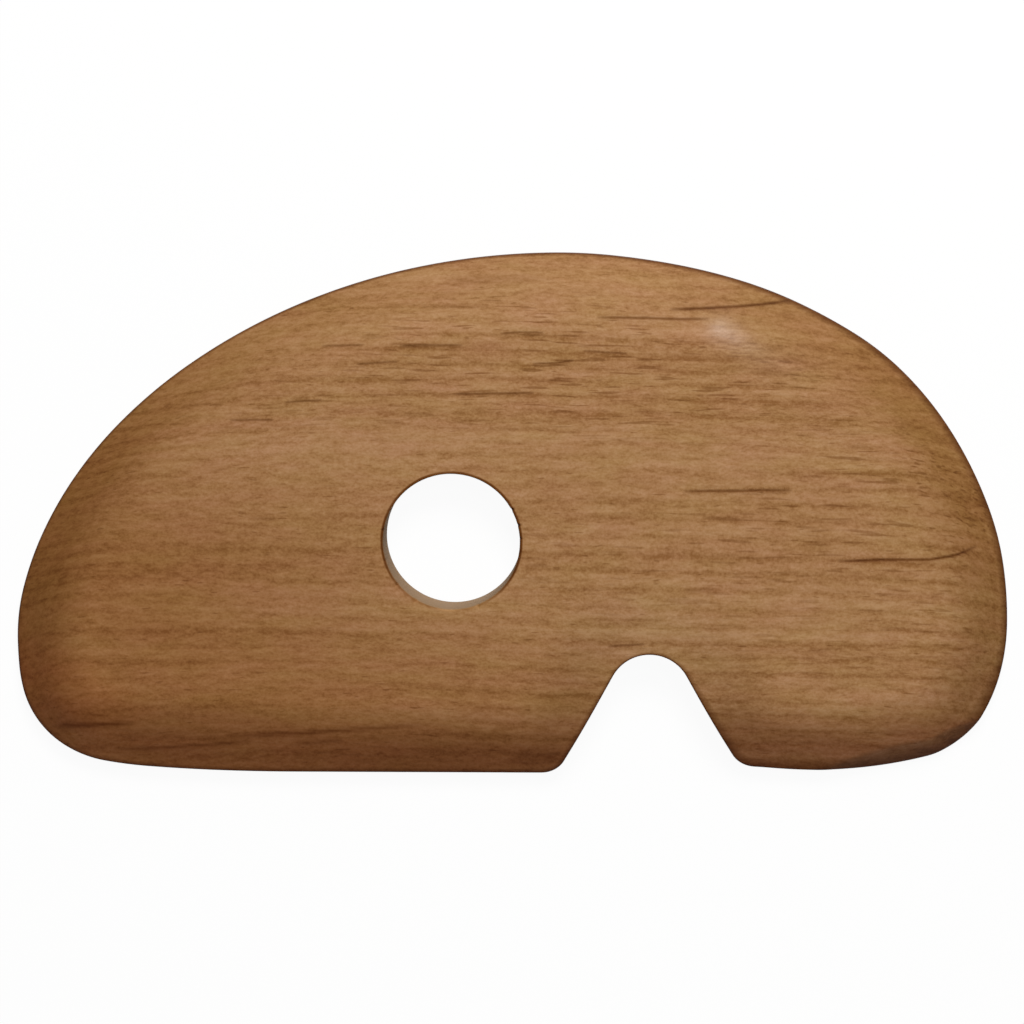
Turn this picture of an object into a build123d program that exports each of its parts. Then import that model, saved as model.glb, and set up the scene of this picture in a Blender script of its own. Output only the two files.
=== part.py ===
from build123d import *
import os
from math import atan2, cos, radians, sin, sqrt, tan

# A wooden throwing rib lies on its flat back with the bevelled face up. The bow looks towards +Y,
# the foot with its profile notch towards -Y, and the length of the rib and its grain run along X.

# The board it is sawn from
rib_length = 139.7
rib_width = 73.6
rib_thickness = 6.35

# The two corners of the foot: the toe looks towards -X and the heel towards +X
toe_corner_radius = 13.2
heel_corner_radius = 12.6
corner_sweep_angle = 44.0

# The working edge: the face is sanded down to a thin wall all round the outline
edge_thickness = 2.4
bevel_width = 7.0
shoulder_radius = 15.0
edge_ease = 0.3
back_ease = 0.45

# The finger hole, placed from the middle of the rib
hole_diameter = 19.05
hole_x = -7.6
hole_y = -3.0
hole_rim_ease = 0.35

# The profile notch in the foot: a V with a round tip, and rounded lips at its mouth
notch_x = 19.95
notch_angle = 57.5
notch_depth = 17.8
notch_tip_radius = 5.85
notch_lip_radius = 3.7

# The foot goes on past the notch a little higher, and dips from there towards the heel
heel_rise = 0.85
heel_dip_angle = 4.5

# The two flats pared off the heel corner, steeper than the bevel: how far the edge has turned where
# each is square to it, their slope, and the wall that they leave there
foot_facet_turn_angle = 12.0
end_facet_turn_angle = 32.5
facet_slope_angle = 46.0
facet_wall = 0.5

# How far a cutter stands out past the wood
overrun = 2.0

# Most of the room inside the outline's tightest bend that the soft shoulder may take up
shoulder_room_share = 0.9

# Stations of the outline, each a place along the length and across the width, from the middle of the
# rib and as shares of the two, and the heading of the edge there in degrees from +X. The headings are
# those of a rib drawn in shares, so the edge leans with the rib's proportions.
bow_shares = [
    (0.500, -0.206, 90),
    (0.481, 0.012, 101),
    (0.395, 0.272, 118),
    (0.291, 0.403, 138),
    (0.162, 0.479, 161),
    (0.050, 0.500, 180),
    (-0.230, 0.386, 221),
    (-0.391, 0.178, 242),
    (-0.473, -0.040, 256),
    (-0.500, -0.243, 270),
]
foot_shares = [
    (-0.370, -0.490, 352),
    (-0.220, -0.500, 360),
]

# The middle of each corner's arc, and the true heading of the edge there
toe_corner_shares = (-0.481, -0.401, 305)
heel_corner_shares = (0.451, -0.441, 37)


def station(along, across, heading):
    """A place on the outline and the edge's direction there, both given in shares."""
    place = Vector(along * rib_length, across * rib_width)
    lean = Vector(cos(radians(heading)) * rib_length, sin(radians(heading)) * rib_width)
    return place, lean.normalized()


def corner_knot(shares, radius, heading):
    """The place on a corner's arc where the edge has this heading, and its direction there."""
    along, across, middle_heading = shares
    rise = Vector(sin(radians(heading)), -cos(radians(heading)))
    middle_rise = Vector(sin(radians(middle_heading)), -cos(radians(middle_heading)))
    place = Vector(along * rib_length, across * rib_width) + (rise - middle_rise) * radius
    return place, Vector(cos(radians(heading)), sin(radians(heading)))


def corner(shares, radius):
    """The two ends of a corner's arc."""
    middle_heading = shares[2]
    turns = [-corner_sweep_angle / 2, corner_sweep_angle / 2]
    return [corner_knot(shares, radius, middle_heading + turn) for turn in turns]


def notch_point_y():
    """Where the two flanks of the notch would meet, were its tip not round."""
    half_angle = radians(notch_angle / 2)
    return notch_depth - rib_width / 2 + notch_tip_radius * (1 / sin(half_angle) - 1)


def notch_half_width(y):
    """Half the width of the sharp V at this height."""
    return (notch_point_y() - y) * tan(radians(notch_angle / 2))


def notch_sides():
    """The foot on either side of the notch, far enough from it for its lips to be rounded."""
    foot_y = -rib_width / 2
    reach = notch_half_width(foot_y) + notch_lip_radius
    dip = radians(-heel_dip_angle)
    return [
        (Vector(notch_x - reach, foot_y), Vector(1, 0)),
        (Vector(notch_x + reach, foot_y + heel_rise), Vector(cos(dip), sin(dip))),
    ]


def bend_or_line(start, end, heading):
    """The arc that leaves start along heading and ends at end, or a line where it has no bend."""
    least_bend = 0.0001
    chord = (end - start).normalized()
    if abs(heading.cross(chord).Z) < least_bend:
        return Line(start, end)
    return TangentArc(start, end, tangent=heading)


def biarc(start, start_heading, end, end_heading):
    """Two arcs that join two knots, keep both headings and meet smoothly half-way."""
    chord = end - start
    advance = chord.dot(start_heading + end_heading)
    turn = 1 - start_heading.dot(end_heading)
    if turn > 0:
        reach = (sqrt(advance**2 + 2 * turn * chord.dot(chord)) - advance) / (2 * turn)
    else:
        reach = chord.dot(chord) / (2 * advance)
    first_corner = start + start_heading * reach
    second_corner = end - end_heading * reach
    middle = (first_corner + second_corner) / 2
    middle_heading = (second_corner - first_corner).normalized()
    return [
        bend_or_line(start, middle, start_heading),
        bend_or_line(middle, end, middle_heading),
    ]


def rib_outline():
    """The outline before the notch is cut, as a face in the plane of the back."""
    knots = [station(*shares) for shares in bow_shares]
    knots += corner(toe_corner_shares, toe_corner_radius)
    knots += [station(*shares) for shares in foot_shares]
    knots += notch_sides()
    knots += corner(heel_corner_shares, heel_corner_radius)
    edges = []
    for (start, start_heading), (end, end_heading) in zip(knots, knots[1:] + knots[:1]):
        edges += biarc(start, start_heading, end, end_heading)
    return make_face(edges)


def shoulder_bend(outline):
    """The radius of the shoulder, held in by the tightest bend that it has to follow."""
    bends = outline.edges().filter_by(GeomType.CIRCLE)
    room = min(bend.radius for bend in bends) - bevel_width
    slope = atan2(rib_thickness - edge_thickness, bevel_width)
    return min(shoulder_radius, shoulder_room_share * room / tan(slope / 2))


def bevelled_blank(outline):
    """The board sawn to the outline, its face bevelled all round and the shoulder sanded soft."""
    board = extrude(outline, rib_thickness)
    flat = board.faces().sort_by(Axis.Z)[-1]
    bevel_drop = rib_thickness - edge_thickness
    bevelled = chamfer(flat.edges(), length=bevel_width, length2=bevel_drop, reference=flat)
    shoulder = bevelled.faces().sort_by(Axis.Z)[-1].edges()
    return fillet(shoulder, shoulder_bend(outline))


def facet_plane(turn_angle):
    """The plane of the flat that is square to the heel's edge where it has turned this far."""
    place, heading = corner_knot(heel_corner_shares, heel_corner_radius, turn_angle)
    upward = Vector(0, 0, 1)
    outward = heading.cross(upward)
    slope = radians(facet_slope_angle)
    lowest = place + upward * (back_ease + facet_wall)
    return Plane(lowest, z_dir=outward * sin(slope) + upward * cos(slope))


def pared_heel(blank):
    """The blank with the two flats pared off its heel corner."""
    pared = split(blank, bisect_by=facet_plane(foot_facet_turn_angle), keep=Keep.BOTTOM)
    return split(pared, bisect_by=facet_plane(end_facet_turn_angle), keep=Keep.BOTTOM)


def notched_profile(outline):
    """The outline with the V cut out of the foot and the two lips of its mouth rounded."""
    foot_y = -rib_width / 2
    below_y = foot_y - overrun
    below_left = (notch_x - notch_half_width(below_y), below_y)
    below_right = (notch_x + notch_half_width(below_y), below_y)
    point = (notch_x, notch_point_y())
    flanks = FilletPolyline(below_left, point, below_right, radius=notch_tip_radius)
    vee = make_face(flanks.edges() + Line(below_right, below_left).edges())
    notched = outline - vee
    mouth_half = notch_half_width(foot_y)
    mouth = [(notch_x - mouth_half, foot_y), (notch_x + mouth_half, foot_y)]
    lips = [notched.vertices().sort_by_distance(lip)[0] for lip in mouth]
    return fillet(lips, notch_lip_radius)


def notched_blade(blank, profile):
    """The blank cut straight through to the notched profile, so the flanks cross its bevel."""
    column = extrude(profile, rib_thickness + 2 * overrun)
    return blank & Pos(Z=-overrun) * column


def eased_edges(blade):
    """The blade with the sharp edges of its back and of its upright walls sanded off."""
    back = blade.faces().sort_by(Axis.Z)[0]
    blade = fillet(back.edges(), back_ease)
    level = 0.001
    wall_edges = ShapeList()
    for face in blade.faces():
        if abs(face.normal_at().Z) < level:
            wall_edges += [edge for edge in face.edges() if edge.position_at(0).Z > back_ease + level]
    rims = [edge for edge in wall_edges if abs(edge.tangent_at(0).Z) < 1 - level]
    return fillet(rims, edge_ease)


def drilled(blade):
    """The blade with the finger hole drilled through it and both of its rims eased."""
    drill = Pos(hole_x, hole_y) * Cylinder(hole_diameter / 2, 2 * (rib_thickness + overrun))
    holed = blade - drill
    rims = new_edges(blade, drill, combined=holed)
    return fillet(rims, hole_rim_ease)


def rib_blade():
    """The whole rib, in the order in which it is made at the bench."""
    outline = rib_outline()
    blank = pared_heel(bevelled_blank(outline))
    blade = notched_blade(blank, notched_profile(outline))
    return drilled(eased_edges(blade))


os.makedirs("parts", exist_ok=True)
export_step(rib_blade(), "parts/rib_blade.step")
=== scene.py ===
import math

import bpy
import numpy as np
from bpy.props import FloatProperty, FloatVectorProperty, PointerProperty
from mathutils import Matrix, Vector, geometry, noise


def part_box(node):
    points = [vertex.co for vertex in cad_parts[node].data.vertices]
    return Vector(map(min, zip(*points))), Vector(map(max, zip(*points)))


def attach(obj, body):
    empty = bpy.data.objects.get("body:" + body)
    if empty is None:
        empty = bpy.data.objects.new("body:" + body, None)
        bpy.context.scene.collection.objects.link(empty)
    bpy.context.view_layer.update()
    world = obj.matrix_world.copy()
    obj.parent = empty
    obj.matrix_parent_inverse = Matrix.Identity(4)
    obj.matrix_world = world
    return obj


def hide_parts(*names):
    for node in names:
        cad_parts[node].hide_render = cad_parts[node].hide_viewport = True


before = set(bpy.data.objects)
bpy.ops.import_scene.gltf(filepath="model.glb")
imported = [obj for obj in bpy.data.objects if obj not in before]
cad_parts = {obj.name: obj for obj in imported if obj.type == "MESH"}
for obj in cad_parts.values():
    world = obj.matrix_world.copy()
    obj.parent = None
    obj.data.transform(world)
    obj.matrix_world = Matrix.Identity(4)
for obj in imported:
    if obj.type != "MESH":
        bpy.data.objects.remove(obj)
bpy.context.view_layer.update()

bl_info = {
    "name": "Throwing rib",
    "version": (1, 0, 0),
    "blender": (4, 5, 0),
    "location": "View3D > Sidebar > Throwing rib",
    "description": "Cuts a wooden throwing rib out of an oiled hardwood board and lights it",
    "category": "Object",
}

BLADE_NODE = "rib_blade"
MM = 0.001
BLADE_LOW, BLADE_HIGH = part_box(BLADE_NODE)
BLADE_SIZE = BLADE_HIGH - BLADE_LOW

# Stations of the outline: each a place along the length and across the width, from the middle and
# as shares of the two, and the heading of the edge there in degrees, drawn in those shares
BOW_SHARES = [
    (0.500, -0.206, 90),
    (0.481, 0.012, 101),
    (0.395, 0.272, 118),
    (0.291, 0.403, 138),
    (0.162, 0.479, 161),
    (0.050, 0.500, 180),
    (-0.230, 0.386, 221),
    (-0.391, 0.178, 242),
    (-0.473, -0.040, 256),
    (-0.500, -0.243, 270),
]
FOOT_SHARES = [
    (-0.370, -0.490, 352),
    (-0.220, -0.500, 360),
]
TOE_CORNER_SHARES = (-0.481, -0.401, 305)
HEEL_CORNER_SHARES = (0.451, -0.441, 37)

# Fine checks in the face, along the grain: the places they pass through, then half the width, the
# depth and how dark they stand, from oil in them and from painted shade of their depth. Places,
# widths and depths are in millimetres.
CHECKS = [
    ([(22.6, 29.2), (26.9, 29.3), (32.4, 29.5), (36.6, 29.8), (39.8, 30.2)], 0.15, 0.07, 0.95),
    ([(12.6, 28.2), (18.7, 28.1), (24.2, 27.9), (28.4, 27.9)], 0.13, 0.05, 0.85),
    ([(-0.6, 26.0), (2.4, 26.2), (5.6, 26.1)], 0.12, 0.05, 0.7),
    ([(-14.7, 24.3), (-10.0, 24.4), (-5.6, 24.4)], 0.15, 0.05, 0.7),
    ([(-25.5, 24.3), (-19.3, 24.5)], 0.11, 0.04, 0.55),
    ([(-20.6, 21.8), (-17.6, 22.0), (-14.7, 22.2)], 0.11, 0.04, 0.6),
    ([(3.8, 21.8), (6.8, 21.9), (9.7, 22.3)], 0.13, 0.05, 0.75),
    ([(10.8, 23.6), (17.0, 23.2)], 0.12, 0.04, 0.55),
    ([(-7.0, 17.6), (-2.0, 17.7), (4.2, 17.8)], 0.13, 0.05, 0.75),
    ([(-30.7, 16.5), (-28.0, 16.7), (-25.2, 16.9)], 0.11, 0.04, 0.55),
    ([(-38.4, 14.0), (-35.2, 14.1), (-32.1, 14.1)], 0.12, 0.04, 0.65),
    ([(24.5, 4.0), (28.5, 4.1), (32.5, 4.1), (36.0, 4.2), (39.8, 4.1)], 0.16, 0.06, 0.85),
    ([(45.8, -5.8), (51.8, -5.5), (58.7, -5.5), (62.5, -4.9), (65.4, -3.9)], 0.15, 0.07, 0.95),
    ([(14.0, -17.8), (19.4, -17.5)], 0.13, 0.04, 0.65),
]

# Soft dark mineral streaks in the wood, and one broad band of painted shade: their places in
# millimetres, then half the width and the strength
STREAKS = [
    ([(-9.0, 33.1), (-0.6, 33.4), (6.0, 33.5)], 0.70, 0.30),
    ([(-40.3, -30.9), (-29.2, -30.4), (-10.7, -29.0)], 0.30, 0.75),
    ([(-30.0, -32.0), (-23.0, -31.6)], 0.28, 0.65),
    ([(-57.1, -33.4), (-47.7, -32.8), (-35.6, -31.7)], 0.32, 0.75),
    ([(-65.5, -30.0), (-57.6, -29.3), (-52.3, -29.0)], 0.38, 0.90),
    ([(24.4, -9.9), (29.0, -9.7)], 0.35, 0.45),
    ([(-11.0, 29.6), (-1.9, 29.7)], 0.16, 0.30),
    ([(-7.4, 33.3), (7.7, 33.4)], 0.16, 0.25),
    ([(-36.0, 0.1), (-31.5, 0.4)], 0.16, 0.40),
    ([(25.4, -13.4), (29.0, -9.5)], 0.16, 0.30),
    ([(47.4, 10.3), (50.2, 10.4)], 0.16, 0.50),
    ([(28.0, -27.6), (34.0, -28.7), (40.9, -30.0), (47.0, -31.1)], 0.80, 0.20),
    # A broad faint band of painted shade where the face turns down into the foot's bevel towards
    # the toe
    ([(-62.0, -26.0), (-43.0, -27.0), (-25.0, -27.4)], 2.60, 0.13),
    ([(1.0, -34.8), (8.0, -33.6)], 1.80, 0.28),
]

# The part of the shoulder that the palm has polished, along these places in millimetres, how far it
# reaches to either side and how much of it has faded at the far end
POLISHED = [(29.6, 26.0), (31.2, 25.2), (35.6, 22.0), (41.0, 20.0)]
POLISH_REACH = 2.2 * MM
POLISH_FADE = 0.8

# How widely wear has softened the ridge between the two flats of the heel, and their creases
RIDGE_WEAR = 0.3 * MM
CREASE_WEAR = 0.1 * MM

# The waves that sanding by hand leaves in the face
WAVE_DEPTH = 0.03 * MM
WAVE_REACH = 11 * MM
WAVE_SEED = 3.0

# Nicks that the drill left in the rim of the hole: the angle from +X in degrees, then how far each
# reaches into the face and how wide it is, in millimetres
HOLE_NICKS = [
    (28, 0.7, 0.18),
    (14, 0.8, 0.14),
    (3, 0.4, 0.12),
    (170, 0.5, 0.20),
    (196, 0.4, 0.18),
    (218, 0.6, 0.16),
    (238, 0.4, 0.30),
    (292, 0.5, 0.14),
]
NICK_SHADE = 0.3 * MM

# How the easing of the hole's rim departs from its size: its share of it at the sides, how uneven
# it is over which reach, and how much sharper towards the bow
RIM_WEAR = 0.85
RIM_UNEVENNESS = 0.2
RIM_REACH = 2.5 * MM
RIM_SEED = 9.0
RIM_LEAN = 0.4

# How finely the surface is cut up: steps along the edge, the hole and the lines in the face, grids
# over the face and the back, and how far these stay from the edge, the hole and the lines
EDGE_STEP = 0.42 * MM
HOLE_STEP = 0.18 * MM
LINE_STEP = 0.3 * MM
FACE_GRID = 0.46 * MM
FACE_GAP = 0.75 * MM
BACK_GRID = 1.6 * MM
BACK_GAP = 1.5 * MM
HOLE_GAP = 1.5 * MM
LINE_GAP = 0.2 * MM

# The rings of places down a wall: round its upper easing, down to the back's and round that
EASE_ANGLES = np.radians((68, 46, 24, 0))
WALL_SHARES = (0.75, 0.5, 0.25, 0.0)
BACK_ANGLES = np.radians((30, 60))

# Noises in the wood, by how often each changes over a millimetre: along the grain, across its
# layers and through the board
WARP = (0.012, 0.04, 0.04)
WOBBLE = (0.08, 0.12, 0.12)
RING_DRIFT = (0.01, 0.15, 0.1)
RING_PATCHES = (0.03, 0.07, 0.07)
FIGURE = (0.10, 0.36, 0.36)
DASH_PATCHES = (0.03, 0.06, 0.06)
DASHES = (0.24, 2.6, 2.6)
SPECKS = (0.5, 2.8, 2.8)
HEART_AND_SHADE_DRIFT = (0.02, 0.12, 0.1)
RIM_PATCHES = (0.35, 0.35, 0.1)
FIBRES = (0.42, 1.80, 1.80)
FINE_FIBRES = (1.20, 2.40, 2.40)

# The noises of the grain's tone, from broad bands to single fibres, and the weight of each
GRAIN = [
    ((0.010, 0.20, 0.10), 0.26),
    ((0.020, 0.51, 0.40), 0.24),
    ((0.14, 0.93, 0.80), 0.24),
    ((0.60, 1.80, 1.80), 0.42),
    ((1.80, 3.00, 3.00), 0.36),
    ((4.20, 5.00, 5.00), 0.28),
]

# Where each trait of the wood and each painted shade begins and where it is full: by a noise, by
# how far the surface faces an end or the foot, or by a place or distance in millimetres
TRAITS = {
    "pale middle": (36.0, 18.0),
    "ring patches": (0.22, 0.62),
    "figure": (0.25, 0.75),
    "dash patches": (0.40, 0.62),
    "dashes": (0.64, 0.75),
    "bow side": (-25.0, 22.0),
    "specks": (0.76, 0.84),
    # Heartwood towards the toe's corner, which also paints the shade where the light falls off
    # there
    "heart_and_shade": (0.0, 44.0),
    "end grain": (0.12, 0.60),
    # Painted shade, redder and darker, on surfaces that face the foot away from the main lamp, and
    # at the toe's corner
    "foot shade": (0.10, 0.48),
    "toe shade": (50.0, 59.0),
    # How squarely a surface faces the foot, and where the painted shade on the foot's bevel is
    # lifted towards the toe
    "foot bevel": (0.36, 0.47),
    "toe lift": (-18.0, -34.0),
    "tip wear": (12.0, 4.0),
    "raw wall": (0.16, 0.02),
    "rim line": (0.26, 0.06),
    # A darker band along the bevel, from this far from the edge
    "darker_bevel": (11.0, 4.5),
    "heel side": (15.0, 58.0),
    "foot edge": (-18.0, -30.0),
}

# The soft lamps: the place and width in metres, and the colour
MAIN_LAMP = ((0.090, 0.425, 0.414), 0.24, (1.0, 0.98, 0.95))
OVERHEAD_LAMP = ((0.106, 0.202, 0.468), 0.07, (0.92, 0.96, 1.0))


def left_of(direction):
    """The direction a quarter turn to the left."""
    return np.array([-direction[1], direction[0]])


def cross(a, b):
    """How far b turns to the left of a, for one pair or for many."""
    return a[..., 0] * b[..., 1] - a[..., 1] * b[..., 0]


def unit(vector):
    return vector / np.linalg.norm(vector)


def unit_rows(vectors):
    return vectors / np.linalg.norm(vectors, axis=1)[:, None]


def towards(angle):
    """The direction at this angle from +X, in radians."""
    return np.array([math.cos(angle), math.sin(angle)])


class Bend:
    """A stretch of an edge with one curvature: an arc, or a line where the curvature is nought.
    It curves to the left where the curvature is positive, and the wood lies on its left."""

    def __init__(self, start, direction, curvature, length):
        self.start = np.asarray(start, float)
        self.direction = unit(np.asarray(direction, float))
        self.curvature = curvature
        self.length = length

    @property
    def centre(self):
        return self.start + left_of(self.direction) / self.curvature

    def direction_at(self, travel):
        angle = math.atan2(self.direction[1], self.direction[0])
        return towards(angle + self.curvature * travel)

    def point_at(self, travel):
        if self.curvature == 0:
            return self.start + self.direction * travel
        return self.centre - left_of(self.direction_at(travel)) / self.curvature

    def travel_at(self, point):
        """How far along the bend a point on it lies."""
        if self.curvature == 0:
            return float((point - self.start) @ self.direction)
        out, back = point - self.centre, self.start - self.centre
        return math.atan2(cross(back, out), back @ out) / self.curvature

    def before(self, travel):
        return Bend(self.start, self.direction, self.curvature, travel)

    def after(self, travel):
        rest = self.length - travel
        return Bend(self.point_at(travel), self.direction_at(travel), self.curvature, rest)

    def depth(self, points):
        """How far inside the bend each point lies, or infinity where it doesn't lie beside it."""
        slack = 1e-9
        if self.curvature == 0:
            travel = (points - self.start) @ self.direction
            inside = cross(self.direction, points - self.start)
        else:
            out, back = points - self.centre, self.start - self.centre
            travel = np.arctan2(cross(back, out), out @ back) / self.curvature
            side = math.copysign(1, self.curvature)
            inside = 1 / self.curvature - side * np.linalg.norm(out, axis=1)
        beside = (travel >= -slack) & (travel <= self.length + slack)
        return np.where(beside, inside, np.inf)


def bend_to(start, direction, end):
    """The arc that leaves start along direction and ends at end."""
    least_bend = 1e-5
    chord = end - start
    reach = np.linalg.norm(chord)
    curvature = 2 * cross(direction, chord) / reach**2
    if abs(curvature) * reach < least_bend:
        return Bend(start, chord, 0.0, reach)
    turn = 2 * math.asin(abs(curvature) * reach / 2)
    return Bend(start, direction, curvature, turn / abs(curvature))


def biarc(knot, next_knot):
    """Two arcs that join two knots, keep both directions and meet smoothly half-way."""
    least_turn = 1e-12
    (start, direction), (end, end_direction) = knot, next_knot
    chord = end - start
    advance = chord @ (direction + end_direction)
    turn = 1 - direction @ end_direction
    if turn > least_turn:
        reach = (math.sqrt(advance**2 + 2 * turn * (chord @ chord)) - advance) / (2 * turn)
    else:
        reach = (chord @ chord) / (2 * advance)
    corner = start + direction * reach
    next_corner = end - end_direction * reach
    middle = (corner + next_corner) / 2
    return [bend_to(start, direction, middle), bend_to(middle, unit(next_corner - corner), end)]


def chain(knots):
    """The bends through a row of knots."""
    bends = []
    for knot, next_knot in zip(knots, knots[1:]):
        bends += biarc(knot, next_knot)
    return bends


def station(sizes, along, across, heading):
    """A place on the outline and the edge's direction there, both given in shares."""
    lean = towards(math.radians(heading)) * (sizes.length, sizes.width)
    return np.array([along * sizes.length, across * sizes.width]), unit(lean)


def corner_knot(sizes, shares, radius, heading):
    """The place on a corner's arc where the edge has this heading, and its direction there."""
    along, across, middle_heading = shares
    direction = towards(math.radians(heading))
    middle_direction = towards(math.radians(middle_heading))
    middle = np.array([along * sizes.length, across * sizes.width])
    return middle + (left_of(middle_direction) - left_of(direction)) * radius, direction


def corner(sizes, shares, radius):
    """The two ends of a corner's arc."""
    half_sweep = math.degrees(sizes.corner_sweep) / 2
    headings = (shares[2] - half_sweep, shares[2] + half_sweep)
    return [corner_knot(sizes, shares, radius, heading) for heading in headings]


def outline_parts(sizes):
    """The outline from the heel's end round the bow to the notch, across its mouth, and on to the
    start, before the notch is cut."""
    foot_y = -sizes.width / 2
    reach = notch_half_width(sizes, foot_y) + sizes.notch_lip_radius
    before_mouth = (np.array([sizes.notch_x - reach, foot_y]), towards(0))
    heel_start = np.array([sizes.notch_x + reach, foot_y + sizes.heel_rise])
    after_mouth = (heel_start, towards(-sizes.heel_dip))
    bow = [station(sizes, *shares) for shares in BOW_SHARES]
    round_side = bow + corner(sizes, TOE_CORNER_SHARES, sizes.toe_corner_radius)
    round_side += [station(sizes, *shares) for shares in FOOT_SHARES] + [before_mouth]
    heel = corner(sizes, HEEL_CORNER_SHARES, sizes.heel_corner_radius)
    heel_side = [after_mouth] + heel + [bow[0]]
    return chain(round_side), biarc(before_mouth, after_mouth), chain(heel_side)


def notch_point_y(sizes):
    """Where the two flanks of the notch would meet, were its tip not round."""
    tip_gap = sizes.notch_tip_radius * (1 / math.sin(sizes.notch_angle / 2) - 1)
    return sizes.notch_depth - sizes.width / 2 + tip_gap


def notch_half_width(sizes, y):
    """Half the width of the sharp V at this height."""
    return (notch_point_y(sizes) - y) * math.tan(sizes.notch_angle / 2)


def lip_centre(bend, flank, radius, near):
    """The centre of the arc that rounds the corner between the foot and a flank of the notch."""
    start = flank.start + left_of(flank.direction) * radius - bend.centre
    reach = abs(1 / bend.curvature - radius)
    half = start @ flank.direction
    root = math.sqrt(half**2 - start @ start + reach**2)
    places = [bend.centre + start + flank.direction * (side * root - half) for side in (-1, 1)]
    return min(places, key=lambda place: np.linalg.norm(place - near))


def onto_bend(bend, point):
    """The place on the bend that lies nearest to the point."""
    return bend.centre + unit(point - bend.centre) / abs(bend.curvature)


def lip(first, second, centre, radius):
    """The arc that turns from one place on its circle to another, to the left."""
    start, end = first - centre, second - centre
    turn = math.atan2(cross(start, end), start @ end)
    return Bend(first, left_of(start), 1 / radius, radius * turn)


def notch_bends(sizes, mouth):
    """The foot on either side of the notch, its lips, its flanks and its round tip."""
    left_foot, right_foot = mouth
    half = sizes.notch_angle / 2
    point = np.array([sizes.notch_x, notch_point_y(sizes)])
    up = np.array([math.sin(half), math.cos(half)])
    down = np.array([math.sin(half), -math.cos(half)])
    radius = sizes.notch_lip_radius
    foot_y = -sizes.width / 2
    mouth_half = notch_half_width(sizes, foot_y)
    left_flank, right_flank = Bend(point, up, 0.0, 1.0), Bend(point, down, 0.0, 1.0)
    left_centre = lip_centre(left_foot, left_flank, radius, point - (mouth_half, 0))
    right_centre = lip_centre(right_foot, right_flank, radius, point + (mouth_half, 0))
    left_in = onto_bend(left_foot, left_centre)
    left_out = left_centre - left_of(up) * radius
    right_in = right_centre - left_of(down) * radius
    right_out = onto_bend(right_foot, right_centre)
    tip_radius = sizes.notch_tip_radius
    tip_centre = point - np.array([0, tip_radius / math.sin(half)])
    tip_start = tip_centre + left_of(up) * tip_radius
    tip_end = tip_centre + left_of(down) * tip_radius
    return [
        left_foot.before(left_foot.travel_at(left_in)),
        lip(left_in, left_out, left_centre, radius),
        Bend(left_out, up, 0.0, np.linalg.norm(tip_start - left_out)),
        Bend(tip_start, up, -1 / tip_radius, tip_radius * (math.pi - 2 * half)),
        Bend(tip_end, down, 0.0, np.linalg.norm(right_in - tip_end)),
        lip(right_in, right_out, right_centre, radius),
        right_foot.after(right_foot.travel_at(right_out)),
    ]


def walk(bends, step):
    """Places about a step apart along a closed chain of bends, and the inward direction at each."""
    places, inward = [], []
    for bend in bends:
        count = max(1, math.ceil(bend.length / step))
        for travel in np.arange(count) * bend.length / count:
            places.append(bend.point_at(travel))
            inward.append(left_of(bend.direction_at(travel)))
    return np.array(places), np.array(inward)


def depth_inside(points, bends):
    """How far inside a closed chain of bends each point lies, below nought outside it."""
    depths = np.array([bend.depth(points) for bend in bends])
    nearest = np.argmin(np.abs(depths), axis=0)
    return depths[nearest, np.arange(len(points))]


def drop_of_ease(distance, ease):
    """How far a rounded edge falls below the face, at each distance from the wall."""
    share = 1 - np.clip(distance / ease, 0, 1)
    return ease * (1 - np.sqrt(1 - share**2))


def soft_least(first, second, soft):
    """The lesser of two heights, blended where they are nearly the same."""
    mix = np.clip((second - first) / soft / 2 + 0.5, 0, 1)
    return mix * first + (1 - mix) * second - soft * mix * (1 - mix)


def line_distance(points, places):
    """The distance of each point from a broken line, and how far along it that is, as a share."""
    best = np.full(len(points), np.inf)
    along = np.zeros(len(points))
    gone = 0.0
    for start, end in zip(places, places[1:]):
        length = np.linalg.norm(end - start)
        direction = (end - start) / length
        travel = np.clip((points - start) @ direction, 0, length)
        away = np.linalg.norm(points - start - travel[:, None] * direction, axis=1)
        along = np.where(away < best, gone + travel, along)
        best = np.minimum(away, best)
        gone += length
    return best, along / gone


def taper(along, fullness):
    """A share from nought at both ends of a line to one over its middle, the wider the fuller."""
    return np.clip(fullness * along * (1 - along), 0, 1)


def wander(points, reach, seed):
    """Smooth noise from -1 to 1 at each point, which changes over about this reach."""
    return np.array([noise.noise(Vector((x / reach, y / reach, seed))) for x, y in points])


class Check:
    """A fine crack along the grain, narrower towards its ends."""

    fullness = 8
    darkening_reach = 1.5
    shores = (0, -1, 1, -2.2, 2.2)

    def __init__(self, places, half_width, depth, darkness):
        self.places = np.array(places) * MM
        self.half_width = half_width * MM
        self.deepest = depth * MM
        self.darkness = darkness

    def beside(self, points):
        away, along = line_distance(points, self.places)
        return away / self.half_width, np.sqrt(taper(along, self.fullness))

    def groove(self, points):
        """How far the check falls below the face at each point."""
        away, opening = self.beside(points)
        return self.deepest * np.clip(1 - away, 0, 1) * opening

    def darkening(self, points):
        """How dark the check stands: oil in it and in the fibres beside it, and painted shade of
        its depth.
        """
        away, opening = self.beside(points)
        return self.darkness * np.exp(-((away / self.darkening_reach) ** 2)) * opening

    def lines(self, step):
        """The bottom of the check, its two shores and a line outside each."""
        gaps = np.linalg.norm(np.diff(self.places, axis=0), axis=1)
        gone = np.r_[0, np.cumsum(gaps)]
        travel = np.linspace(0, gone[-1], max(3, round(gone[-1] / step)))
        middle = np.c_[tuple(np.interp(travel, gone, self.places[:, axis]) for axis in (0, 1))]
        along = unit_rows(np.gradient(middle, axis=0))
        across = np.c_[-along[:, 1], along[:, 0]]
        return [middle + across * self.half_width * shore for shore in self.shores]


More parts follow.
